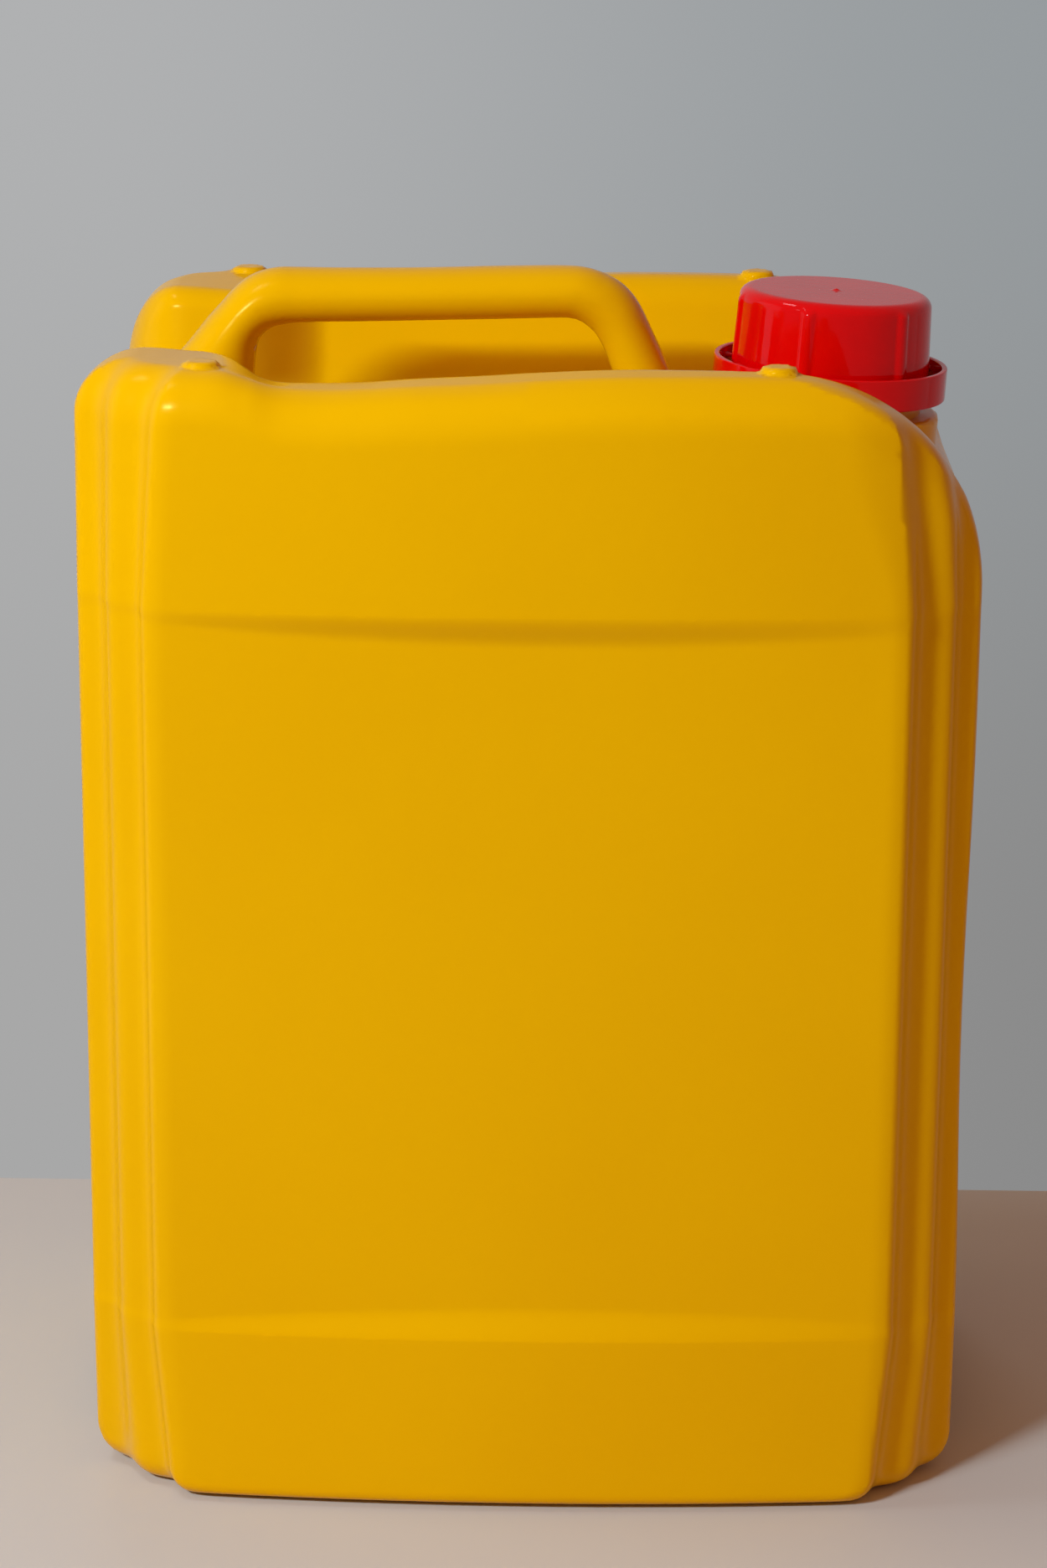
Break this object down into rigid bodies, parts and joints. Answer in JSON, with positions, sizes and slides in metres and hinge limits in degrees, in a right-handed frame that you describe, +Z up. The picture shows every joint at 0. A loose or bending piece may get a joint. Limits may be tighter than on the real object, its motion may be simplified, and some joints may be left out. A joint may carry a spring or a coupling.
{
  "type": "square plastic canister",
  "caption": "Square blow-moulded canister with fluted corners, a tubular handle in a top trough, stacking studs, a screw cap with foam seal and a tamper ring.",
  "frame": {"origin": "on the floor under the middle of the can's bounding box", "axes": "+Z up, +X along the can's long side towards its neck, +Y away from the pictured broad face"},
  "size_m": [0.232, 0.19, 0.318],
  "materials": {
    "can": "satin, blow-moulded",
    "cap": "glossy, injection-moulded",
    "ring": "glossy, injection-moulded",
    "seal": "foam"
  },
  "bodies": {
    "canister": {"canister_body": "can"},
    "ring": {"tamper_ring": "ring"},
    "seal": {"cap_seal": "seal"},
    "cap": {"screw_cap": "cap"}
  },
  "joints": [
    {"name": "cap_lift", "type": "slide", "parent": "canister", "child": "seal", "axis": [0.0558, 0, 0.9984], "range_m": [0, 0.0301]},
    {"name": "cap_turn", "type": "hinge", "parent": "seal", "child": "cap", "pos_m": [0.0781, 0, 0.268], "axis": [0.0558, 0, 0.9984], "range_deg": [0, 1800]},
    {"name": "ring_turn", "type": "hinge", "parent": "canister", "child": "ring", "pos_m": [0.0781, 0, 0.268], "axis": [0.0558, 0, 0.9984], "continuous": true}
  ],
  "couplings": [
    {"joint": "cap_lift", "follows": "cap_turn", "m_per_rad": 0.00095493}
  ]
}
